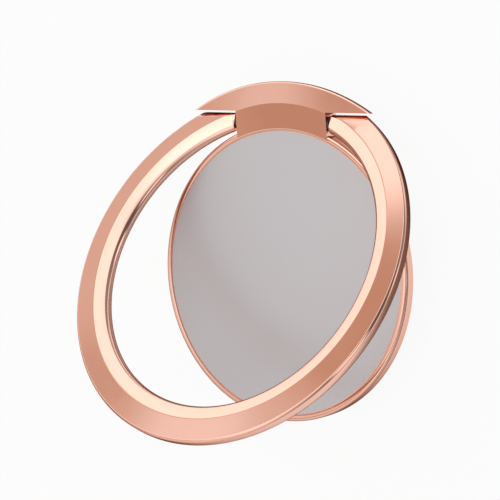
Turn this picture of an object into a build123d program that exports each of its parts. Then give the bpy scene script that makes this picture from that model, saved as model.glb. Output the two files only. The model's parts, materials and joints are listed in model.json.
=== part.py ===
from build123d import *
import os
from math import cos, radians, sin, tan

# A slim phone ring holder lying on its adhesive face. The origin is the centre of that
# face, X runs along the ring's hinge, Y towards the hinge and Z out of the phone's back.
# All sizes are millimetres.

# Finger ring
ring_outer_radius = 21.0
ring_band_width = 4.0
ring_outline_shift = 0.27
ring_thickness = 2.0
ring_shoulder_slope = 19.0
ring_nose_radius = 0.6
ring_nose_flats = 5
ring_front_break = 0.2
ring_back_chamfer = 0.9
ring_open_angle = 29.5

# Ring hinge
hinge_inset = 0.2
tail_gap = 0.25
block_width = 12.4
hinge_washer_thickness = 0.25
hinge_washer_inset = 0.2
hinge_washer_play = 0.1
pin_diameter = 1.0
pin_running_clearance = 0.03
pin_depth_in_block = 3.2
pin_depth_in_ring = 4.6
pin_end_play = 0.1

# Hinge block, cast with the turntable
crown_overhang = 0.4
crown_span = 24.2
crown_height = 0.4
crown_face_width = 2.4
crown_edge_break = 0.25
crown_back_chamfer = 1.5
slope_lip = 0.2

# Turntable and the steel face let into it
nesting_gap = 0.3
rim_width = 0.7
rim_edge_break = 0.15
turntable_back_chamfer = 0.5
face_recess = 0.1
face_thickness = 0.5
face_side_clearance = 0.05
film_thickness = 0.1
film_inset = 0.5

# Swivel rivet and its washers
rivet_shank_radius = 3.0
rivet_head_lip = 2.0
rivet_head_thickness = 0.4
rivet_seat_thickness = 0.7
rivet_tail_lip = 0.7
rivet_tail_thickness = 0.15
rivet_running_clearance = 0.05
retainer_width = 2.6
retainer_thickness = 0.25
swivel_running_gap = 0.05
slip_washer_width = 6.0
slip_washer_thickness = 0.25

# Base plate and adhesive pad
base_inset = 1.1
base_web = 0.45
pocket_side_clearance = 0.6
pocket_floor_clearance = 0.1
pad_thickness = 0.6
pad_inset = 0.6

# Radii that follow from the sizes above
ring_inner_radius = ring_outer_radius - ring_band_width
turntable_radius = ring_inner_radius - nesting_gap
face_pocket_radius = turntable_radius - rim_width
base_radius = turntable_radius - base_inset
retainer_radius = rivet_shank_radius + retainer_width
pocket_radius = retainer_radius + pocket_side_clearance
swivel_bore_radius = rivet_shank_radius + rivet_running_clearance

# Heights above the phone, from the adhesive upwards
tail_bottom = pad_thickness + pocket_floor_clearance
retainer_bottom = tail_bottom + rivet_tail_thickness
retainer_top = retainer_bottom + retainer_thickness
pocket_ceiling = retainer_top + swivel_running_gap
base_top = pocket_ceiling + base_web
turntable_bottom = base_top + slip_washer_thickness + swivel_running_gap
rivet_seat = turntable_bottom + rivet_seat_thickness
face_floor = rivet_seat + rivet_head_thickness
film_top = face_floor + film_thickness
face_top = film_top + face_thickness
rim_top = face_top + face_recess
crown_top = rim_top + crown_height
crown_bottom = crown_top - ring_thickness

# The hinge line runs through the middle of the ring's thickness. The ring's cut ends are
# rounded about it, so they turn under the tails of the hinge block.
hinge_offset = ring_inner_radius - hinge_inset
hinge_height = crown_top - ring_thickness / 2
knuckle_radius = ring_thickness / 2
crown_chord = hinge_offset + knuckle_radius + tail_gap
crown_apex = ring_outer_radius + crown_overhang
slope_top_radius = crown_apex - crown_face_width
slope_foot_radius = face_pocket_radius + slope_lip
tail_reach = crown_span / 2
crown_rise = crown_apex - crown_chord
crown_radius = (tail_reach**2 + crown_rise**2) / (2 * crown_rise)
crown_axis = Axis((0, crown_apex - crown_radius, 0), (0, 0, 1))
crown_plane = Plane.XZ.offset(crown_radius - crown_apex)
block_side = block_width / 2
ring_end = block_side + hinge_washer_thickness + hinge_washer_play
pin_radius = pin_diameter / 2
pin_bore_radius = pin_radius + pin_running_clearance

# Planes of the opened ring: its hinge plane looks out of the front of the ring. The outer
# outline stands further from the hinge than the hole, so the band is widest at its free end.
open_angle = radians(ring_open_angle)
hinge_plane = Plane(
    origin=(0, hinge_offset, hinge_height),
    x_dir=(1, 0, 0),
    z_dir=(0, sin(open_angle), cos(open_angle)),
)
ring_centre = hinge_plane.from_local_coords((0, -hinge_offset, 0))
ring_axis = Axis(ring_centre, hinge_plane.z_dir)
band_plane = Plane(origin=ring_centre, x_dir=(1, 0, 0), z_dir=-hinge_plane.y_dir)
outline_plane = band_plane.offset(ring_outline_shift)
outline_axis = Axis(outline_plane.origin, hinge_plane.z_dir)
knuckle_plane = Plane(origin=hinge_plane.origin, x_dir=hinge_plane.y_dir, z_dir=(1, 0, 0))


def save(piece, name):
    """Name a finished piece and write it to its own file."""
    piece.part.label = name
    export_step(piece.part, f"parts/{name}.step")


def flat_washer(name, inner_radius, outer_radius, plane, thickness):
    """A washer that stands on the given plane."""
    with BuildPart() as washer:
        with BuildSketch(plane):
            Circle(outer_radius)
            Circle(inner_radius, mode=Mode.SUBTRACT)
        extrude(amount=thickness)
    save(washer, name)


os.makedirs("parts", exist_ok=True)

# Foam adhesive pad that sticks to the phone
with BuildPart() as adhesive_pad:
    with BuildSketch():
        Circle(base_radius - pad_inset)
    extrude(amount=pad_thickness)
save(adhesive_pad, "adhesive_pad")

# Base plate: a turned plate with a pocket for the rivet's tail
with BuildPart() as base_plate:
    with BuildSketch(Plane.XZ):
        with BuildLine():
            Polyline(
                (pocket_radius, pad_thickness),
                (base_radius, pad_thickness),
                (base_radius, base_top),
                (swivel_bore_radius, base_top),
                (swivel_bore_radius, pocket_ceiling),
                (pocket_radius, pocket_ceiling),
                close=True,
            )
        make_face()
    revolve(axis=Axis.Z)
save(base_plate, "base_plate")

flat_washer(
    "slip_washer",
    swivel_bore_radius,
    swivel_bore_radius + slip_washer_width,
    Plane.XY.offset(base_top),
    slip_washer_thickness,
)

# Turntable casting: a dished plate with a rim, and the hinge block as a crescent with two
# tails above its chord, a knuckle below it and an inner side that slopes down to the rim.
with BuildPart() as turntable:
    with BuildSketch(Plane.XY.offset(crown_bottom)):
        with BuildLine():
            crown = ThreePointArc((-tail_reach, crown_chord), (0, crown_apex), (tail_reach, crown_chord))
            Polyline(
                crown @ 1,
                (block_side, crown_chord),
                (block_side, 0),
                (-block_side, 0),
                (-block_side, crown_chord),
                crown @ 0,
            )
        make_face()
        Circle(slope_foot_radius, mode=Mode.SUBTRACT)
    extrude(amount=ring_thickness)
    crown_wall = turntable.faces().filter_by(GeomType.CYLINDER).sort_by(Axis.Y)[-1]
    chamfer(crown_wall.edges().filter_by(GeomType.CIRCLE).sort_by(Axis.Z)[-1], crown_edge_break)
    with BuildSketch(crown_plane):
        with BuildLine():
            Polyline(
                (crown_radius - crown_back_chamfer, crown_bottom),
                (crown_radius + crown_back_chamfer, crown_bottom),
                (crown_radius + crown_back_chamfer, crown_bottom + 2 * crown_back_chamfer),
                close=True,
            )
        make_face()
    revolve(axis=crown_axis, mode=Mode.SUBTRACT)
    with BuildSketch(Plane.XZ):
        with BuildLine():
            Polyline(
                (slope_foot_radius, rim_top),
                (slope_top_radius, crown_top),
                (slope_top_radius, crown_top + crown_height),
                (face_pocket_radius, crown_top + crown_height),
                (face_pocket_radius, rim_top),
                close=True,
            )
        make_face()
    revolve(axis=Axis.Z, mode=Mode.SUBTRACT)
    with BuildSketch(Plane.XZ):
        with BuildLine():
            Polyline(
                (rivet_shank_radius, turntable_bottom),
                (turntable_radius - turntable_back_chamfer, turntable_bottom),
                (turntable_radius, turntable_bottom + turntable_back_chamfer),
                (turntable_radius, rim_top - rim_edge_break),
                (turntable_radius - rim_edge_break, rim_top),
                (face_pocket_radius, rim_top),
                (face_pocket_radius, face_floor),
                (rivet_shank_radius + rivet_head_lip, face_floor),
                (rivet_shank_radius + rivet_head_lip, rivet_seat),
                (rivet_shank_radius, rivet_seat),
                close=True,
            )
        make_face()
    revolve(axis=Axis.Z)
    for side in (-1, 1):
        bore_mouth = Plane(origin=(side * block_side, hinge_offset, hinge_height), z_dir=(-side, 0, 0))
        with BuildSketch(bore_mouth):
            Circle(pin_bore_radius)
        extrude(amount=pin_depth_in_block + pin_end_play, mode=Mode.SUBTRACT)
save(turntable, "turntable")

# Rivet that joins the turntable to the base plate, with its tail spread over a washer
with BuildPart() as pivot_rivet:
    with BuildSketch(Plane.XZ):
        with BuildLine():
            Polyline(
                (0, tail_bottom),
                (rivet_shank_radius + rivet_tail_lip, tail_bottom),
                (rivet_shank_radius + rivet_tail_lip, retainer_bottom),
                (rivet_shank_radius, retainer_bottom),
                (rivet_shank_radius, rivet_seat),
                (rivet_shank_radius + rivet_head_lip, rivet_seat),
                (rivet_shank_radius + rivet_head_lip, face_floor),
                (0, face_floor),
                close=True,
            )
        make_face()
    revolve(axis=Axis.Z)
save(pivot_rivet, "pivot_rivet")

flat_washer(
    "retaining_washer",
    rivet_shank_radius,
    retainer_radius,
    Plane.XY.offset(retainer_bottom),
    retainer_thickness,
)

# Adhesive film and polished steel face
with BuildPart() as face_film:
    with BuildSketch(Plane.XY.offset(face_floor)):
        Circle(face_pocket_radius - film_inset)
    extrude(amount=film_thickness)
save(face_film, "face_film")

with BuildPart() as face_disc:
    with BuildSketch(Plane.XY.offset(film_top)):
        Circle(face_pocket_radius - face_side_clearance)
    extrude(amount=face_thickness)
save(face_disc, "face_disc")

# Finger ring: flat lands, a narrow outer wall chamfered at the back, and a hole whose two
# sloping shoulders meet in a nose rounded off by a run of narrow flats.
half_thickness = ring_thickness / 2
shoulder_slope = radians(ring_shoulder_slope)
nose_half_turn = 90 - ring_shoulder_slope
nose_centre = ring_inner_radius + ring_nose_radius
shoulder_end = nose_centre - ring_nose_radius * sin(shoulder_slope)
shoulder_height = ring_nose_radius * cos(shoulder_slope)
shoulder_reach = shoulder_end + (ring_thickness - shoulder_height) / tan(shoulder_slope)


def nose_corner(step):
    """A corner between two flats, on the circle that both shoulders touch."""
    turn = radians(nose_half_turn * (1 - 2 * step / ring_nose_flats))
    return (nose_centre - ring_nose_radius * cos(turn), ring_nose_radius * sin(turn))


with BuildPart() as finger_ring:
    with BuildSketch(outline_plane):
        with BuildLine():
            Polyline(
                (0, -half_thickness),
                (ring_outer_radius - ring_back_chamfer, -half_thickness),
                (ring_outer_radius, ring_back_chamfer - half_thickness),
                (ring_outer_radius, half_thickness - ring_front_break),
                (ring_outer_radius - ring_front_break, half_thickness),
                (0, half_thickness),
                close=True,
            )
        make_face()
    revolve(axis=outline_axis)
    with BuildSketch(band_plane):
        with BuildLine():
            Polyline(
                (0, ring_thickness),
                (shoulder_reach, ring_thickness),
                *[nose_corner(step) for step in range(ring_nose_flats + 1)],
                (shoulder_reach, -ring_thickness),
                (0, -ring_thickness),
                close=True,
            )
        make_face()
    revolve(axis=ring_axis, mode=Mode.SUBTRACT)
    # The ends stop at the hinge line, rounded about it
    with BuildSketch(knuckle_plane):
        Rectangle(ring_outer_radius, 3 * ring_thickness, align=(Align.MIN, Align.CENTER))
        Circle(knuckle_radius, mode=Mode.SUBTRACT)
    extrude(amount=ring_outer_radius, both=True, mode=Mode.SUBTRACT)
    # Room for the hinge block and its washers
    with BuildSketch(hinge_plane):
        Rectangle(2 * ring_end, ring_outer_radius)
    extrude(amount=ring_thickness, both=True, mode=Mode.SUBTRACT)
    with BuildSketch(knuckle_plane):
        Circle(pin_radius)
    extrude(amount=ring_end + pin_depth_in_ring, both=True, mode=Mode.SUBTRACT)
save(finger_ring, "finger_ring")

# Hinge pins pressed into the ring's ends, and the washers that brake them
for side, name in ((-1, "left"), (1, "right")):
    pin_start = Plane(
        origin=(side * (block_side - pin_depth_in_block), hinge_offset, hinge_height),
        z_dir=(side, 0, 0),
    )
    with BuildPart() as hinge_pin:
        with BuildSketch(pin_start):
            Circle(pin_radius)
        extrude(amount=pin_depth_in_block + ring_end - block_side + pin_depth_in_ring)
    save(hinge_pin, f"hinge_pin_{name}")

    flat_washer(
        f"hinge_washer_{name}",
        pin_bore_radius,
        knuckle_radius - hinge_washer_inset,
        Plane(origin=(side * block_side, hinge_offset, hinge_height), z_dir=(side, 0, 0)),
        hinge_washer_thickness,
    )
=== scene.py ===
# %% [markdown]
# A slim phone ring holder, seen opened like a stand. A round plated turntable carries a
# polished steel face, a crescent-shaped hinge block holds the finger ring, and a foam pad
# under the base plate sticks to the phone. The imported CAD model gives every size and place,
# so the lesson starts by loading it and keeping its boxes; the ring's is printed beside the new ring.

import json
from math import cos, degrees, hypot, pi, radians, sin, tan

import bpy
from mathutils import Matrix, Vector


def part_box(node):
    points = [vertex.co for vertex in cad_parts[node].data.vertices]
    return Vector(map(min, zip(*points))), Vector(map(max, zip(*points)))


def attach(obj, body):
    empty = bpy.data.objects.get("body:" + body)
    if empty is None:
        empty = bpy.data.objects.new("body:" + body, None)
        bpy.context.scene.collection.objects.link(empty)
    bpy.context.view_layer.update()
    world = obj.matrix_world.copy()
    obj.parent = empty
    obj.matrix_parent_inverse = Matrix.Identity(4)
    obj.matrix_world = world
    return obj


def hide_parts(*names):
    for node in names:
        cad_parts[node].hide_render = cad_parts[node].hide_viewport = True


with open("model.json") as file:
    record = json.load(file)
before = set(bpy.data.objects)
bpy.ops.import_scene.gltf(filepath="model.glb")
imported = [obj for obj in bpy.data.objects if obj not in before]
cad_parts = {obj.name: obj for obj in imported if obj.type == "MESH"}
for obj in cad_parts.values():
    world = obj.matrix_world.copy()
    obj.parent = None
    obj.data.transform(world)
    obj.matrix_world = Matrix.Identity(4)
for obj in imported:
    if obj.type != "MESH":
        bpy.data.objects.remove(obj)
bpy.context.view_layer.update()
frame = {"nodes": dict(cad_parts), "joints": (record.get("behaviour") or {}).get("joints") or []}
mm = 0.001
print("CAD nodes:", sorted(frame["nodes"]))

# %% [markdown]
# The hinge line, the way the ring leans and the main radii come out of the frame. The
# radii are half the width of a node's box, and the heights are its lowest and highest
# faces. Reading them here keeps the looks on the solids if the CAD model is made again.

# %% Read the main sizes
ring_low, ring_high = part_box("finger_ring")
plate_low, plate_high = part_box("turntable")
face_low, face_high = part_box("face_disc")
base_low, base_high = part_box("base_plate")
pad_low, pad_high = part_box("adhesive_pad")
rivet_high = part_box("pivot_rivet")[1]
washer_low, washer_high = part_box("hinge_washer_right")
retainer_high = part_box("retaining_washer")[1]

hinge = next(joint for joint in frame["joints"] if joint["name"] == "ring_hinge")
hinge_point = Vector(hinge["pos_m"])
lean = radians(-hinge["range_deg"][0])

inside_cad = 0.001 * mm
ring_radius = ring_high.x - inside_cad
ring_thickness = 2 * (plate_high.z - hinge_point.z)
plate_radius = -plate_low.y
face_radius = face_high.x
base_radius = base_high.x
pad_radius = pad_high.x
crown_top = plate_high.z
crown_bottom = crown_top - ring_thickness
crown_apex = plate_high.y
print(f"ring {2 * ring_radius / mm:.1f} mm across, leaning {degrees(lean):.1f} degrees")

# %% [markdown]
# Every piece below is shaped in edit mode, so a few helpers come first. Operators act on
# all that is selected, and the loaded nodes are selected, so each helper clears the
# selection. Faces and edges are then picked by their place, as a modeller picks them by eye.

# %% Helpers for picking
def pick_piece(piece):
    """Make one object the only selected and active one."""
    bpy.ops.object.select_all(action="DESELECT")
    piece.select_set(True)
    bpy.context.view_layer.objects.active = piece


def pick(piece, kind, wanted):
    """Enter edit mode with the faces, edges or vertices picked for which wanted(points) holds."""
    pick_piece(piece)
    bpy.ops.object.mode_set(mode="EDIT")
    bpy.ops.mesh.select_mode(type=kind)
    bpy.ops.mesh.select_all(action="DESELECT")
    bpy.ops.object.mode_set(mode="OBJECT")
    mesh = piece.data
    if kind == "VERT":
        for vertex in mesh.vertices:
            vertex.select = wanted([vertex.co])
    else:
        for part in mesh.polygons if kind == "FACE" else mesh.edges:
            part.select = wanted([mesh.vertices[index].co for index in part.vertices])
    bpy.ops.object.mode_set(mode="EDIT")


def done():
    """Leave edit mode."""
    bpy.ops.object.mode_set(mode="OBJECT")


slack = 0.01 * mm


def near(value, target):
    """True where two lengths agree to a hundredth of a millimetre."""
    return abs(value - target) < slack


def all_near(points, measure, target):
    """True where a measure has the same value at every point."""
    return all(near(measure(point), target) for point in points)


def height(point):
    """How high a point lies over the phone's back."""
    return point.z


def reach(point):
    """Distance from the swivel axis."""
    return hypot(point.x, point.y)


cut_exact = 0.0001 * mm


def slice_picked(place, normal, **settings):
    """Cut what is picked along a plane, exact to a tenth of a micrometre."""
    bpy.ops.mesh.bisect(plane_co=place, plane_no=normal, threshold=cut_exact, **settings)


print("helpers ready")

# %% [markdown]
# Castings and turned pieces have small rounded edges, and those edges catch the light.
# After its edges are bevelled, a piece is shaded smooth up to an angle, and a weighted
# normal modifier keeps the large flat faces flat beside their narrow bevels.

# %% Helpers for finishing
def new_piece(name):
    """Name the active new primitive and put its place into its mesh."""
    piece = bpy.context.object
    piece.name = name
    piece.data.name = name
    bpy.ops.object.transform_apply(location=True, rotation=True, scale=True)
    return piece


def drum(name, radius, low, high, centre=(0, 0), sides=256):
    """A round blank between two heights."""
    bpy.ops.object.select_all(action="DESELECT")
    place = (centre[0], centre[1], (low + high) / 2)
    bpy.ops.mesh.primitive_cylinder_add(vertices=sides, radius=radius, depth=high - low, location=place)
    return new_piece(name)


def apply_modifier(piece, kind, **values):
    """Add a modifier, set it and apply it."""
    pick_piece(piece)
    modifier = piece.modifiers.new(kind.title(), kind)
    for key, value in values.items():
        setattr(modifier, key, value)
    bpy.ops.object.modifier_apply(modifier=modifier.name)


def carve(piece, cutter, operation="DIFFERENCE"):
    """Boolean a helper shape with a piece, and throw the helper away."""
    apply_modifier(piece, "BOOLEAN", object=cutter, operation=operation, solver="EXACT")
    bpy.data.objects.remove(cutter)


def bevel_edges(piece, width, segments, wanted):
    """Round the edges that are picked by their place."""
    pick(piece, "EDGE", wanted)
    bpy.ops.mesh.bevel(offset=width, segments=segments, affect="EDGES", clamp_overlap=True)
    done()


def push_face(piece, wanted, inset, depth):
    """Inset a flat face and push the middle along Z."""
    pick(piece, "FACE", wanted)
    bpy.ops.mesh.inset(thickness=inset)
    bpy.ops.mesh.extrude_region_move(TRANSFORM_OT_translate={"value": (0, 0, depth)})
    done()


weld = 0.0005 * mm


def finish_piece(piece, angle=30):
    """Close seams, turn faces outwards and shade the piece."""
    pick(piece, "FACE", lambda points: True)
    bpy.ops.mesh.remove_doubles(threshold=weld)
    bpy.ops.mesh.select_all(action="SELECT")
    bpy.ops.mesh.normals_make_consistent(inside=False)
    done()
    bpy.ops.object.shade_smooth_by_angle(angle=radians(angle))
    apply_modifier(piece, "WEIGHTED_NORMAL", keep_sharp=True)
    print(piece.name, len(piece.data.polygons), "faces")


print("finishing helpers ready")

# %% [markdown]
# The turntable is a die casting: a dished plate whose low rim frames the steel face. It
# could be spun from a drawn section, but a drum with its top inset and pushed down is how
# the dish reads on the real piece, and each step is one press in edit mode.

# %% Turntable plate
face_recess = 0.1 * mm
rivet_head = 0.4 * mm
retainer_width = 2.6 * mm
rim_width = 0.7 * mm
rim_round = 0.28 * mm
pocket_round = 0.03 * mm
back_chamfer = 0.5 * mm
rim_top = face_high.z + face_recess
pocket_radius = plate_radius - rim_width
pocket_floor = rivet_high.z
rivet_seat = pocket_floor - rivet_head
seat_radius = rivet_high.x
bore_radius = retainer_high.x - retainer_width

turntable = drum("turntable_casting", plate_radius, plate_low.z, rim_top)
push_face(turntable, lambda p: all_near(p, height, rim_top), rim_width, pocket_floor - rim_top)
push_face(
    turntable,
    lambda p: all_near(p, height, pocket_floor),
    pocket_radius - seat_radius,
    rivet_seat - pocket_floor,
)
carve(turntable, drum("bore", bore_radius, plate_low.z - mm, rim_top))
for width, segments, radius, level in (
    (rim_round, 6, plate_radius, rim_top),
    (pocket_round, 2, pocket_radius, rim_top),
    (back_chamfer, 1, plate_radius, plate_low.z),
):
    bevel_edges(
        turntable,
        width,
        segments,
        lambda p: all_near(p, reach, radius) and all_near(p, height, level),
    )
print("dish", len(turntable.data.polygons), "faces")

# %% [markdown]
# The hinge block is cast in one with the plate. Seen from the front it is a crescent with
# two pointed tails, thin at its outer edge because its back is chamfered, and its middle
# runs back to the rim as a knuckle between the ends of the ring. A large drum is bevelled
# while its edges are still whole circles, a straight bisect leaves the crescent, and the
# middle of the cut face is pulled back for the knuckle.

# %% Crescent and knuckle
tail_gap = 0.25 * mm
tail_reach = 12.1 * mm
crown_chamfer = 1.5 * mm
crown_round = 0.2 * mm
knuckle_radius = ring_thickness / 2
block_half = washer_low.x
chord = hinge_point.y + knuckle_radius + tail_gap
rise = crown_apex - chord
crown_radius = (tail_reach**2 + rise**2) / (2 * rise)
crown_centre = crown_apex - crown_radius

block = drum("hinge_block", crown_radius, crown_bottom, crown_top, (0, crown_centre), 512)
bevel_edges(block, crown_chamfer, 1, lambda p: all_near(p, height, crown_bottom))
bevel_edges(block, crown_round, 4, lambda p: all_near(p, height, crown_top))
pick(block, "FACE", lambda p: True)
slice_picked((0, chord, 0), (0, 1, 0), use_fill=True, clear_inner=True)
for side in (-1, 1):
    bpy.ops.mesh.select_all(action="SELECT")
    slice_picked((side * block_half, 0, 0), (1, 0, 0))
done()
pick(
    block,
    "FACE",
    lambda p: all_near(p, lambda q: q.y, chord) and max(abs(q.x) for q in p) < block_half + slack,
)
knuckle_depth = 0.3 * plate_radius
bpy.ops.mesh.extrude_region_move(TRANSFORM_OT_translate={"value": (0, -knuckle_depth, 0)})
done()
print(f"crescent radius {crown_radius / mm:.2f} mm, chord {2 * tail_reach / mm:.1f} mm")

# %% [markdown]
# The straight edges of the tails have fine bevels of their own. The inside of the block
# falls to the rim as a shallow cone. A drum with its top face pulled up and widened is the
# exact negative of that slope, so one Boolean cuts it before the block joins the plate.

# %% Tail edges and slope
slope_lip = 0.2 * mm
slope_foot = pocket_radius + slope_lip
slope_head = 19.0 * mm
tail_round = 0.08 * mm
bevel_edges(
    block,
    tail_round,
    3,
    lambda p: all_near(p, lambda q: q.y, chord)
    and all_near(p, height, crown_top)
    and min(abs(q.x) for q in p) > block_half - slack,
)
slope_cutter = drum("slope_cutter", slope_foot, crown_bottom - mm, rim_top)
pick(slope_cutter, "FACE", lambda p: all_near(p, height, rim_top))
slope_rise = 2 * (crown_top - rim_top)
slope_wide = slope_foot + 2 * (slope_head - slope_foot)
bpy.ops.mesh.extrude_region_move(TRANSFORM_OT_translate={"value": (0, 0, slope_rise)})
widen = slope_wide / slope_foot
bpy.ops.transform.resize(value=(widen, widen, 1), center_override=(0, 0, 0))
done()
carve(block, slope_cutter)
carve(turntable, block, "UNION")
print("casting", len(turntable.data.polygons), "faces")

# %% [markdown]
# Each side of the knuckle is drilled for a hinge pin. The holes are hidden by the washers,
# yet they let the pins sit without cutting into the casting. The slope meets its neighbours
# at only eight degrees, too little for smoothing by angle, so its two edges are marked sharp.

# %% Pin holes in the block
def rod(name, radius, start, end, sides=64):
    """A round bar along the hinge line."""
    bpy.ops.object.select_all(action="DESELECT")
    bpy.ops.mesh.primitive_cylinder_add(
        vertices=sides,
        radius=radius,
        depth=end - start,
        location=((start + end) / 2, hinge_point.y, hinge_point.z),
        rotation=(0, pi / 2, 0),
    )
    return new_piece(name)


pin_low, pin_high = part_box("hinge_pin_right")
pin_radius = (pin_high.z - pin_low.z) / 2
pin_clearance = 0.03 * mm
pin_end_play = 0.1 * mm
for side in (-1, 1):
    ends = sorted((side * (pin_low.x - pin_end_play), side * (block_half + mm)))
    carve(turntable, rod("pin_hole", pin_radius + pin_clearance, *ends))
pick(
    turntable,
    "EDGE",
    lambda p: (all_near(p, reach, slope_head) and all_near(p, height, crown_top))
    or (all_near(p, reach, slope_foot) and all_near(p, height, rim_top)),
)
bpy.ops.mesh.mark_sharp()
done()
finish_piece(turntable)

# %% [markdown]
# The finger ring is bent from flat bar and turned to its section: a flat land, two shoulders
# falling at nineteen degrees to a round nose on the finger side, and a chamfer behind. A
# plane stood on edge is cut by one bisect for each slanting side, because a slanted cut is
# how the real section was formed, and the corners are then rounded by vertex bevels.

# %% Ring section
band = 4.0 * mm
half = ring_thickness / 2
inner_radius = ring_radius - band
shoulder = radians(19)
shoulder_width = 1.66 * mm
land_radius = inner_radius + shoulder_width
front_break = 0.2 * mm
ring_chamfer = 0.9 * mm

bpy.ops.object.select_all(action="DESELECT")
bpy.ops.mesh.primitive_plane_add(
    size=1, location=(ring_radius - band / 2, 0, 0), rotation=(pi / 2, 0, 0)
)
bpy.context.object.scale = (band, ring_thickness, 1)
ring = new_piece("ring_bar")
cuts = (
    ((land_radius, 0, half), (-sin(shoulder), 0, cos(shoulder))),
    ((land_radius, 0, -half), (-sin(shoulder), 0, -cos(shoulder))),
    ((ring_radius - front_break, 0, half), (1, 0, 1)),
    ((ring_radius - ring_chamfer, 0, -half), (1, 0, -1)),
)
for place, normal in cuts:
    pick(ring, "FACE", lambda p: True)
    slice_picked(place, normal, clear_outer=True)
    done()
corners = [(round(v.co.x / mm, 2), round(v.co.z / mm, 2)) for v in ring.data.vertices]
print("section corners:", corners)

# %% [markdown]
# The two inner corners become the round nose, with a bevel as long as half the inner wall.
# The other corners get small rounds that keep the bands of light crisp. The flat section
# then loses its face and its outline is spun once round the ring's axis.

# %% Round and spin the section
nose = half - (land_radius - inner_radius) * tan(shoulder)
seam = 0.001 * mm
rounds = (
    (0.98 * nose, 10, lambda p: near(p[0].x, inner_radius)),
    (0.10 * mm, 4, lambda p: near(p[0].x, land_radius)),
    (0.07 * mm, 4, lambda p: p[0].x > ring_radius - 0.3 * mm and p[0].z > 0.5 * half),
    (0.12 * mm, 4, lambda p: p[0].x > ring_radius - mm and p[0].z < 0),
)
for width, segments, wanted in rounds:
    pick(ring, "VERT", wanted)
    bpy.ops.mesh.bevel(offset=width, segments=segments, affect="VERTICES")
    done()
pick(ring, "FACE", lambda p: True)
bpy.ops.mesh.delete(type="ONLY_FACE")
bpy.ops.mesh.select_all(action="SELECT")
bpy.ops.mesh.spin(steps=360, angle=2 * pi, center=(0, 0, 0), axis=(0, 0, 1))
bpy.ops.mesh.select_all(action="SELECT")
bpy.ops.mesh.remove_doubles(threshold=seam)
bpy.ops.mesh.select_all(action="SELECT")
bpy.ops.mesh.normals_make_consistent(inside=False)
done()
print("spun ring", len(ring.data.polygons), "faces")

# %% [markdown]
# The band is a little wider at its free end, where a finger pulls it. The hole stays on the
# ring's axis, and the whole outer wall is slid away from the hinge.

# %% Widen the free end
outline_shift = 0.27 * mm
pick(ring, "VERT", lambda p: reach(p[0]) > 0.5 * (land_radius + ring_radius))
bpy.ops.transform.translate(value=(0, -outline_shift, 0))
done()
widths = [reach(vertex.co) for vertex in ring.data.vertices]
print(f"band reaches {max(widths) / mm:.2f} mm from the axis at its free end")

# %% [markdown]
# The ring is open at the hinge. Its two ends are rounded about the hinge line, so that they
# can turn past the tails, and the knuckle fits between them. The waste is a cube with a
# round bar left standing in it, which one Boolean takes away, and a second cube opens the
# middle. The ring is still flat here, with its centre on the swivel axis.

# %% Ring ends
def brick(name, low, high):
    """A square blank between two corners."""
    bpy.ops.object.select_all(action="DESELECT")
    bpy.ops.mesh.primitive_cube_add(size=1, location=(Vector(low) + Vector(high)) / 2)
    bpy.context.object.scale = Vector(high) - Vector(low)
    return new_piece(name)


lift = Matrix.Translation((0, 0, hinge_point.z))
ring.data.transform(lift)
washer_play = 0.1 * mm
ring_end = washer_high.x + washer_play
wide = 1.2 * ring_radius
waste_low, waste_high = -5 * mm, 10 * mm
waste = brick("waste", (-wide, hinge_point.y, waste_low), (wide, 2 * ring_radius, waste_high))
carve(waste, rod("knuckle_bar", knuckle_radius, -1.1 * wide, 1.1 * wide, 256))
carve(ring, waste)
gap = brick(
    "gap", (-ring_end, 0.7 * hinge_point.y, waste_low), (ring_end, 2 * ring_radius, waste_high)
)
carve(ring, gap)
carve(ring, rod("pin_hole", pin_radius, -pin_high.x, pin_high.x))
print("open ring", len(ring.data.polygons), "faces, ends at", round(ring_end / mm, 2), "mm")

# %% [markdown]
# The edges of the two end faces are eased a little, and the ring is then turned about the
# hinge line to the lean it has in the photograph.

# %% Ease the ends and lean the ring
end_round = 0.06 * mm
bevel_edges(
    ring,
    end_round,
    2,
    lambda p: all_near(p, lambda q: abs(q.x), ring_end)
    and max(hypot(q.y - hinge_point.y, q.z - hinge_point.z) for q in p) > 1.2 * pin_radius,
)
pick(ring, "FACE", lambda p: True)
bpy.ops.transform.rotate(
    value=lean, orient_axis="X", orient_type="GLOBAL", center_override=tuple(hinge_point)
)
done()
finish_piece(ring)
heights = [vertex.co.z for vertex in ring.data.vertices]
print(f"ring from {min(heights) / mm:.2f} to {max(heights) / mm:.2f} mm")
print(f"CAD ring from {ring_low.z / mm:.2f} to {ring_high.z / mm:.2f} mm")

# %% [markdown]
# The face is a disc stamped from satin steel sheet and pressed close into the dish. Stamping
# rolls the upper edge over, so the top edge has a small round and the lower one a fine break.

# %% Face disc
press_gap = 0.004 * mm
face_round = 0.03 * mm
face_break = 0.05 * mm
face = drum("steel_face", pocket_radius - press_gap, face_low.z, face_high.z)
bevel_edges(face, face_round, 3, lambda p: all_near(p, height, face_high.z))
bevel_edges(face, face_break, 2, lambda p: all_near(p, height, face_low.z))
finish_piece(face)

# %% [markdown]
# The base plate hides under the turntable and shows only as a thin edge. It is a disc
# with a pocket below for the rivet tail, made like the dish above: inset, push, bore.

# %% Base plate
tail_room = 0.6 * mm
tail_depth = 0.55 * mm
rivet_clearance = 0.05 * mm
base_round = 0.15 * mm
base = drum("base_casting", base_radius, base_low.z, base_high.z)
push_face(
    base,
    lambda p: all_near(p, height, base_low.z),
    base_radius - retainer_high.x - tail_room,
    tail_depth,
)
carve(base, drum("bore", bore_radius + rivet_clearance, base_low.z - mm, base_high.z + mm))
for level in (base_high.z, base_low.z):
    bevel_edges(
        base,
        base_round,
        4,
        lambda p: all_near(p, reach, base_radius) and all_near(p, height, level),
    )
finish_piece(base)

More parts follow.
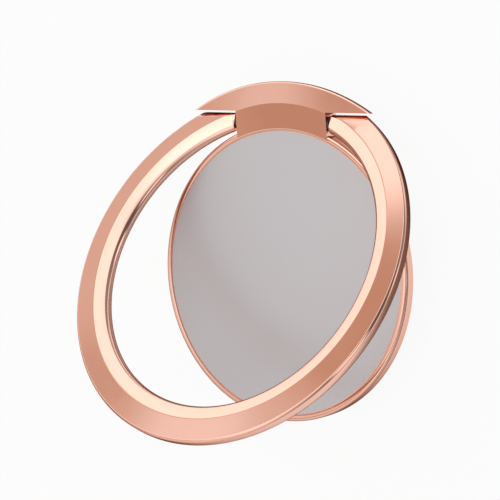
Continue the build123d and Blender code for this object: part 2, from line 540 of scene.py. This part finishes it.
# %% [markdown]
# The sticky pad is punched from foam sheet. The punch squeezes the foam, so its edge bulges
# in the middle and draws in at both skins. The drum's side is cut into rings by bisects, and
# the rings next to the skins are drawn in.

# %% Foam pad
pad = drum("foam_pad", pad_radius, pad_low.z, pad_high.z)
pad_thick = pad_high.z - pad_low.z
for share in (0.15, 0.35, 0.5, 0.65, 0.85):
    pick(pad, "FACE", lambda p: True)
    slice_picked((0, 0, pad_low.z + share * pad_thick), (0, 0, 1))
    done()
squeeze = ((0.0, 0.22), (0.15, 0.08), (0.35, 0.02), (0.65, 0.02), (0.85, 0.08), (1.0, 0.22))
for share, draw in squeeze:
    level = pad_low.z + share * pad_thick
    pick(pad, "VERT", lambda p: near(p[0].z, level))
    shrink = 1 - draw * mm / pad_radius
    bpy.ops.transform.resize(value=(shrink, shrink, 1), center_override=(0, 0, level))
    done()
finish_piece(pad, 50)

# %% [markdown]
# Materials come next. The same few surface effects appear on every finish, so each one is
# a small node group: a fine grain, and a soft haze left by wiping and handling. A group only
# gives out values, and the shader itself stays in the material.

# %% Node helpers
def add(tree, kind, values=None, **settings):
    """Add a node; a value that is a socket is linked, any other is set."""
    node = tree.nodes.new(kind)
    for key, value in settings.items():
        setattr(node, key, value)
    for key, value in (values or {}).items():
        if isinstance(value, bpy.types.NodeSocket):
            tree.links.new(value, node.inputs[key])
        else:
            node.inputs[key].default_value = value
    return node


def new_group(name, inputs, outputs):
    """An empty node group with named float sockets."""
    tree = bpy.data.node_groups.new(name, "ShaderNodeTree")
    for label, value in inputs.items():
        socket = tree.interface.new_socket(
            name=label, in_out="INPUT", socket_type="NodeSocketFloat"
        )
        socket.default_value = value
    for label in outputs:
        tree.interface.new_socket(name=label, in_out="OUTPUT", socket_type="NodeSocketFloat")
    return tree, add(tree, "NodeGroupInput"), add(tree, "NodeGroupOutput")


def ramp(tree, value, low, high, first, last):
    """A smooth change of one value into another."""
    sockets = {"Value": value, "From Min": low, "From Max": high, "To Min": first, "To Max": last}
    node = add(tree, "ShaderNodeMapRange", sockets, interpolation_type="SMOOTHSTEP")
    return node.outputs["Result"]


def mix_colour(tree, factor, first, second):
    """One colour going over into another."""
    node = add(tree, "ShaderNodeMix", {0: factor, 6: first, 7: second}, data_type="RGBA")
    return node.outputs[2]


print("node helpers ready")

# %% [markdown]
# The fine grain is a small noise for the bump and a wider one for the tone. The haze is a
# slow cloud with a few clearer patches, as a cloth leaves them on metal.

# %% Shared surface groups
grain_group, grain_in, grain_out = new_group(
    "fine_grain", {"Scale": 9000.0, "Spread": 350.0}, ("Height", "Tone")
)
place = add(grain_group, "ShaderNodeTexCoord").outputs["Object"]
fine = add(
    grain_group,
    "ShaderNodeTexNoise",
    {"Vector": place, "Scale": grain_in.outputs["Scale"], "Detail": 3.0},
)
slow = add(
    grain_group,
    "ShaderNodeTexNoise",
    {"Vector": place, "Scale": grain_in.outputs["Spread"], "Detail": 2.0},
)
grain_group.links.new(fine.outputs["Fac"], grain_out.inputs["Height"])
grain_group.links.new(slow.outputs["Fac"], grain_out.inputs["Tone"])

haze_group, haze_in, haze_out = new_group("handling_haze", {"Scale": 120.0}, ("Haze",))
place = add(haze_group, "ShaderNodeTexCoord").outputs["Object"]
cloud = add(
    haze_group,
    "ShaderNodeTexNoise",
    {"Vector": place, "Scale": haze_in.outputs["Scale"], "Detail": 4.0, "Distortion": 0.6},
)
cleared = ramp(haze_group, cloud.outputs["Fac"], 0.35, 0.7, 0.0, 1.0)
haze_group.links.new(cleared, haze_out.inputs["Haze"])
print("groups:", [group.name for group in bpy.data.node_groups])

# %% [markdown]
# A material starts from one helper that makes the shader and drops in both groups. The
# finishes then differ in their two close colours, their roughness and how deep the grain is.

# %% Material helper
def new_finish(name, colour, tint, roughness, metallic, grain, spread, depth):
    """A procedural finish: two close colours, a hazed roughness and a fine grain."""
    material = bpy.data.materials.new(name)
    material.use_nodes = True
    tree = material.node_tree
    shader = next(node for node in tree.nodes if node.type == "BSDF_PRINCIPLED")
    grains = add(tree, "ShaderNodeGroup", node_tree=grain_group)
    grains.inputs["Scale"].default_value = grain
    grains.inputs["Spread"].default_value = spread
    hazes = add(tree, "ShaderNodeGroup", node_tree=haze_group)
    tone = mix_colour(tree, grains.outputs["Tone"], (*colour, 1), (*tint, 1))
    tree.links.new(tone, shader.inputs["Base Color"])
    rough = ramp(tree, hazes.outputs["Haze"], 0.0, 1.0, roughness[0], roughness[1])
    tree.links.new(rough, shader.inputs["Roughness"])
    shader.inputs["Metallic"].default_value = metallic
    heights = {"Height": grains.outputs["Height"], "Distance": depth, "Strength": 1.0}
    bump = add(tree, "ShaderNodeBump", heights)
    tree.links.new(bump.outputs["Normal"], shader.inputs["Normal"])
    return material


print("finish helper ready")

# %% [markdown]
# Rose-gold plating lies over polished zinc on the casting, the ring and the base plate. The
# steel face is satin under a clear lacquer, so it is an even grey with only a quarter of
# metal shine, and shows the ring as a soft band. The hidden metal is plain steel, the slip
# and hinge washers are dark nylon, and the pad is dark foam with a clear film of glue. The
# last number of a finish is the depth of its grain in metres.

# %% Finishes
rose_gold = new_finish(
    "rose_gold", (0.89, 0.525, 0.42), (0.92, 0.55, 0.44), (0.07, 0.10), 1.0, 9000.0, 350.0, 1e-7
)
steel_face = new_finish(
    "polished_steel",
    (0.65, 0.64, 0.665),
    (0.66, 0.65, 0.675),
    (0.29, 0.33),
    0.25,
    9000.0,
    200.0,
    4e-8,
)
plain_steel = new_finish(
    "plain_steel", (0.50, 0.50, 0.51), (0.56, 0.56, 0.57), (0.28, 0.40), 1.0, 7000.0, 600.0, 1e-6
)
nylon = new_finish(
    "nylon", (0.05, 0.028, 0.022), (0.07, 0.04, 0.032), (0.40, 0.50), 0.0, 5000.0, 500.0, 2e-6
)
foam = new_finish(
    "foam", (0.035, 0.035, 0.038), (0.06, 0.06, 0.064), (0.80, 0.92), 0.0, 4000.0, 1500.0, 2e-5
)
film = new_finish(
    "glue_film", (0.70, 0.68, 0.62), (0.76, 0.74, 0.68), (0.18, 0.30), 0.0, 3000.0, 400.0, 2e-6
)
print("finishes:", [m.name for m in (rose_gold, steel_face, plain_steel, nylon, foam, film)])

# %% [markdown]
# Polished plating loses light where it is seen at a glancing angle, which draws thin dark
# lines along the outlines. That is the edge tint of the shader. The steel face has a narrow
# pinkish band at its edge, a painted highlight that stands in for the light its rounded edge
# catches and the plated rim it mirrors, so a mask made from the distance to the middle tints it.

# %% Edges of the finishes
def shader_of(material):
    """The shader that a finish ends in."""
    return next(node for node in material.node_tree.nodes if node.type == "BSDF_PRINCIPLED")


def distance_out(tree):
    """How far a point of a surface lies from the swivel axis."""
    spot = add(tree, "ShaderNodeTexCoord").outputs["Object"]
    level_spot = add(tree, "ShaderNodeVectorMath", {0: spot, 1: (1, 1, 0)}, operation="MULTIPLY")
    length = add(tree, "ShaderNodeVectorMath", {0: level_spot.outputs["Vector"]}, operation="LENGTH")
    return length.outputs["Value"]


def tint_by(material, mask, colour):
    """Lay one colour over a finish where a mask says so."""
    base_colour = shader_of(material).inputs["Base Color"]
    mixed = mix_colour(material.node_tree, mask, base_colour.links[0].from_socket, colour)
    material.node_tree.links.new(mixed, base_colour)


shader_of(rose_gold).inputs["Specular Tint"].default_value = (0.20, 0.13, 0.11, 1)
# Painted highlight: a pinkish band at the rim of the steel face stands in for the light its edge
# catches and the plated rim it mirrors.
highlight_band_start = face_radius - 0.14 * mm
highlight_band_blur = 0.03 * mm
painted_edge_highlight = ramp(
    steel_face.node_tree,
    distance_out(steel_face.node_tree),
    highlight_band_start - highlight_band_blur,
    highlight_band_start + highlight_band_blur,
    0.0,
    1.0,
)
tint_by(steel_face, painted_edge_highlight, (0.80, 0.62, 0.58, 1))
print(f"bright edge from {highlight_band_start / mm:.2f} mm")

# %% [markdown]
# Each modelled piece takes its finish, rides on the body that carries it, and stands in for
# its CAD node. The small pieces inside the hinge and under the face keep their CAD solids,
# which already have their true form, and only get new finishes.

# %% Dress and place the pieces
dressing = (
    (turntable, rose_gold, "turntable", "turntable", "rose_gold"),
    (ring, rose_gold, "ring", "finger_ring", "rose_gold"),
    (face, steel_face, "turntable", "face_disc", "polished_face"),
    (base, rose_gold, "base", "base_plate", "rose_gold"),
    (pad, foam, "base", "adhesive_pad", "foam_adhesive"),
)
for piece, finish, body, node, slot in dressing:
    piece.data.materials.clear()
    piece.data.materials.append(finish)
    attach(piece, body)
    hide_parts(node)

kept_nodes = {
    "pivot_rivet": plain_steel,
    "retaining_washer": plain_steel,
    "hinge_pin_left": plain_steel,
    "hinge_pin_right": plain_steel,
    "slip_washer": nylon,
    "hinge_washer_left": nylon,
    "hinge_washer_right": nylon,
    "face_film": film,
}
for name, finish in kept_nodes.items():
    for material_slot in frame["nodes"][name].material_slots:
        material_slot.material = finish
print(len(dressing), "modelled pieces,", len(kept_nodes), "kept nodes")

# %% [markdown]
# The camera stands where the photograph was taken: in front of the face, far to the right,
# with a long lens. Its place came from fitting the edges of the ring, the face and the block.

# %% Camera
scene = bpy.context.scene
eye = Vector((0.11579, 0.02230, 0.15917))
forward = Vector((-0.60822, -0.10106, -0.78731)).normalized()
right = forward.cross(Vector((-0.00661, 0.99998, 0))).normalized()
up = right.cross(forward)
lens = bpy.data.cameras.new("photo_camera")
lens.lens = 125.52
lens.sensor_width = 36
lens.clip_start = 0.01
camera = bpy.data.objects.new("photo_camera", lens)
scene.collection.objects.link(camera)
turned = Matrix((right, up, -forward)).transposed().to_4x4()
camera.matrix_world = Matrix.Translation(eye) @ turned
scene.camera = camera
print(f"camera {eye.length / mm:.0f} mm from the part")

# %% [markdown]
# The holder lies on a plain white sheet of paper, which takes its soft shadow. The paper
# could be made white with more lamps, but they would wash out the metal. A share of plain
# white is mixed in instead, for the camera and for reflections, so the shadow stays.

# %% Floor
floor_size = 3000 * mm
floor_drop = 0.02 * mm
white_share = 0.92
bpy.ops.object.select_all(action="DESELECT")
bpy.ops.mesh.primitive_plane_add(size=floor_size, location=(0, 0, -floor_drop))
floor = new_piece("floor")
sheet = new_finish(
    "white_sheet", (0.90, 0.90, 0.90), (0.93, 0.93, 0.93), (0.85, 0.95), 0.0, 2000.0, 60.0, 1e-5
)
tree = sheet.node_tree
path = add(tree, "ShaderNodeLightPath")
seen = path.outputs["Is Camera Ray"]
for other in ("Is Glossy Ray", "Is Transmission Ray"):
    either = add(tree, "ShaderNodeMath", {0: seen, 1: path.outputs[other]}, operation="MAXIMUM")
    seen = either.outputs[0]
share = add(tree, "ShaderNodeMath", {0: seen, 1: white_share}, operation="MULTIPLY").outputs[0]
white = add(tree, "ShaderNodeEmission", {"Color": (1, 1, 1, 1), "Strength": 1.0}).outputs[0]
paper = shader_of(sheet).outputs[0]
blend = add(tree, "ShaderNodeMixShader", {0: share, 1: paper, 2: white}).outputs[0]
surface = next(node for node in tree.nodes if node.type == "OUTPUT_MATERIAL").inputs["Surface"]
tree.links.new(blend, surface)
floor.data.materials.append(sheet)
print("floor ready")

# %% [markdown]
# Photographers lay a dark card, called a flag, round polished metal to draw dark lines along
# its edges. Here it is a paper collar on the floor, dark inside and fading to white, and the
# outer walls of the ring and the block show it. It is a drum with its middle cut away, it is
# out of the camera's sight, and it throws no shadow.

# %% Flag
def only_in_reflections(piece):
    """Hide a studio piece from the camera and from plain light and shadow."""
    piece.visible_camera = False
    piece.visible_shadow = False
    piece.visible_diffuse = False


flag_start, flag_fade, flag_end = 19.6 * mm, 30 * mm, 46 * mm
half_paper = 0.01 * mm
flag = drum("flag", flag_end, -half_paper, half_paper)
carve(flag, drum("flag_hole", flag_start, -mm, mm))
paper_collar = new_finish(
    "dark_card", (0.30, 0.22, 0.20), (0.34, 0.25, 0.23), (0.8, 0.9), 0.0, 2000.0, 60.0, 1e-5
)
tree = paper_collar.node_tree
faded = ramp(tree, distance_out(tree), flag_fade, flag_end, 0.0, 1.0)
tint_by(paper_collar, faded, (0.93, 0.93, 0.93, 1))
flag.data.materials.append(paper_collar)
only_in_reflections(flag)
print("flag with", len(flag.data.polygons), "faces")

# %% [markdown]
# The far shoulders of the ring look along the paper, below the bright cloth of the tent that
# is painted next. A low strip of light on the paper carries that cloth down to the floor. A
# flat lamp would do as well, but a slice of a wide hoop faces the holder all along.

# %% Light strip
strip_radius, strip_height = 200 * mm, 20 * mm
strip_start, strip_end = radians(122), radians(158)
cloth_level = 1.5
strip = drum("light_strip", strip_radius, 0.0, strip_height)
carve(strip, drum("strip_hollow", strip_radius - mm, -mm, strip_height + mm))
for angle, side in ((strip_start, 1), (strip_end, -1)):
    across_end = (-side * sin(angle), side * cos(angle), 0)
    pick(strip, "FACE", lambda p: True)
    slice_picked((0, 0, 0), across_end, clear_inner=True, use_fill=True)
    done()
glow = new_finish(
    "lamp_cloth", (0.02, 0.02, 0.02), (0.03, 0.03, 0.03), (0.8, 0.9), 0.0, 2000.0, 60.0, 1e-5
)
shader_of(glow).inputs["Emission Color"].default_value = (1, 1, 1, 1)
shader_of(glow).inputs["Emission Strength"].default_value = cloth_level
strip.data.materials.append(glow)
only_in_reflections(strip)
print("strip with", len(strip.data.polygons), "faces")

# %% [markdown]
# Polished metal shows its surroundings, so the studio is painted on the world as a large
# tent with cards in it. Lamps and real cards would do the same, but a painted tent has no
# edges or stands to show in the metal. Directions are given as the camera sees them, across,
# above and towards it, because each surface of the holder then has its own place in the tent.

# %% Helpers for the studio
world = bpy.data.worlds.new("studio")
scene.world = world
world.use_nodes = True
sky = world.node_tree
ray = add(sky, "ShaderNodeTexCoord").outputs["Generated"]


def facing(direction):
    """How far a ray of light points along a direction."""
    node = add(sky, "ShaderNodeVectorMath", {0: ray, 1: direction}, operation="DOT_PRODUCT")
    return node.outputs["Value"]


def count(first, second, operation="ADD"):
    """A sum, or another reckoning, of two values."""
    return add(sky, "ShaderNodeMath", {0: first, 1: second}, operation=operation).outputs[0]


def lobe(direction, inner, outer, level):
    """A round soft patch of light: full inside one angle and gone at another."""
    reached = facing(Vector(direction).normalized())
    return ramp(sky, reached, cos(radians(outer)), cos(radians(inner)), 0.0, level)


def seen_at(across, above, toward):
    """A direction given as the camera sees it: to the right, up and towards the lens."""
    return across * right + above * up - toward * forward


print("studio helpers ready")

# %% [markdown]
# The cloth at the left is pale and the rest of the tent grey. The flat front of the block and
# the steel face see the pale cloth, which falls off towards both tails of the block. The slope
# of the block sees a dim stripe below. Behind the holder and round the camera it is darker.

# %% Room
across = facing(right)
above = facing(up)
toward = facing(-forward)
pale, grey = 0.87, 0.6
stripe_depth = 0.34
room = ramp(sky, across, -0.5, -0.3, pale, grey)
stripe_low = ramp(sky, above, -0.33, -0.30, 0.0, stripe_depth)
stripe_high = ramp(sky, above, -0.235, -0.205, 0.0, stripe_depth)
stripe = count(stripe_low, stripe_high, "SUBTRACT")
left_fall = ramp(sky, toward, 0.222, 0.250, 0.20, 0.0)
right_fall = ramp(sky, toward, 0.262, 0.303, 0.0, 0.46)
on_crown = ramp(sky, above, -0.10, -0.06, 0.0, 1.0)
crown_fall = count(count(left_fall, right_fall), on_crown, "MULTIPLY")
for shade in (
    count(1.0, stripe, "SUBTRACT"),
    count(1.0, crown_fall, "SUBTRACT"),
    ramp(sky, toward, -0.35, -0.15, 0.6, 1.0),
    ramp(sky, toward, 0.6, 0.95, 1.0, 0.42),
):
    room = count(room, shade, "MULTIPLY")
print("room ready")

# %% [markdown]
# The flat land of the ring reflects a card up to the left, and the slanting shoulders reflect
# the bright cloth round that card, as wide as the shoulders lean.

# %% Card and cloth
card = (-0.613, 0.616, 0.494)
card_level = 0.79
inside = lobe(card, 9, 14, 1.0)
cloth = count(lobe(card, 36, 40, 1.0), inside, "SUBTRACT")
cloth = count(cloth, ramp(sky, above, 0.1, 0.22, 0.0, 1.0), "MULTIPLY")
cloth = count(cloth, ramp(sky, across, -0.42, -0.34, 1.0, 0.0), "MULTIPLY")
level = add(sky, "ShaderNodeMix", {0: inside, 2: room, 3: card_level}, data_type="FLOAT").outputs[0]
level = add(sky, "ShaderNodeMix", {0: cloth, 2: level, 3: cloth_level}, data_type="FLOAT").outputs[0]
print("card and cloth ready")

# %% [markdown]
# Small soft patches on the card give the land its lights and darks: bright at the foot of the
# ring and at its upper right, dim at the lower right and the lower left. A wide lamp hangs
# overhead, and two lamps near the camera draw fine lines on the nose of the ring and on its
# outer edge.

# %% Patches and lamps
foot = lobe((-0.626, 0.541, 0.561), 0.8, 2.8, 0.24)
upper_right = lobe((-0.551, 0.693, 0.463), 0.9, 2.8, 0.64)
lower_right = lobe((-0.551, 0.635, 0.542), 1.6, 4.2, -0.20)
lower_left = lobe((-0.6625, 0.5315, 0.5275), 0.5, 2.2, -0.20)
overhead = lobe((0, 0, 1), 10, 40, 0.6)
nose_lamp = lobe(seen_at(0.10, -0.10, 0.98), 8, 15, 1.0)
edge_lamp = lobe(seen_at(0.65, 0.31, 0.69), 6, 14, 1.2)
patches = (foot, upper_right, lower_right, lower_left, overhead, nose_lamp, edge_lamp)
for patch in patches:
    level = count(level, patch)
print(len(patches), "patches of light")

# %% [markdown]
# The dim cloth at the left is warm, which gives the plating its deep rose in the shade. The
# warmth follows the level of the light, so no second set of patches is needed.

# %% Colour of the light
dim = ramp(sky, level, 0.55, 1.0, 1.0, 0.0)
at_left = ramp(sky, across, -0.6, -0.4, 1.0, 0.0)
warmth = count(dim, at_left, "MULTIPLY")
tint = mix_colour(sky, warmth, (1, 1, 1, 1), (1.0, 0.72, 0.56, 1))
backdrop = next(node for node in sky.nodes if node.type == "BACKGROUND")
sky.links.new(tint, backdrop.inputs["Color"])
sky.links.new(level, backdrop.inputs["Strength"])
scene.view_settings.view_transform = "Standard"
print("studio painted")
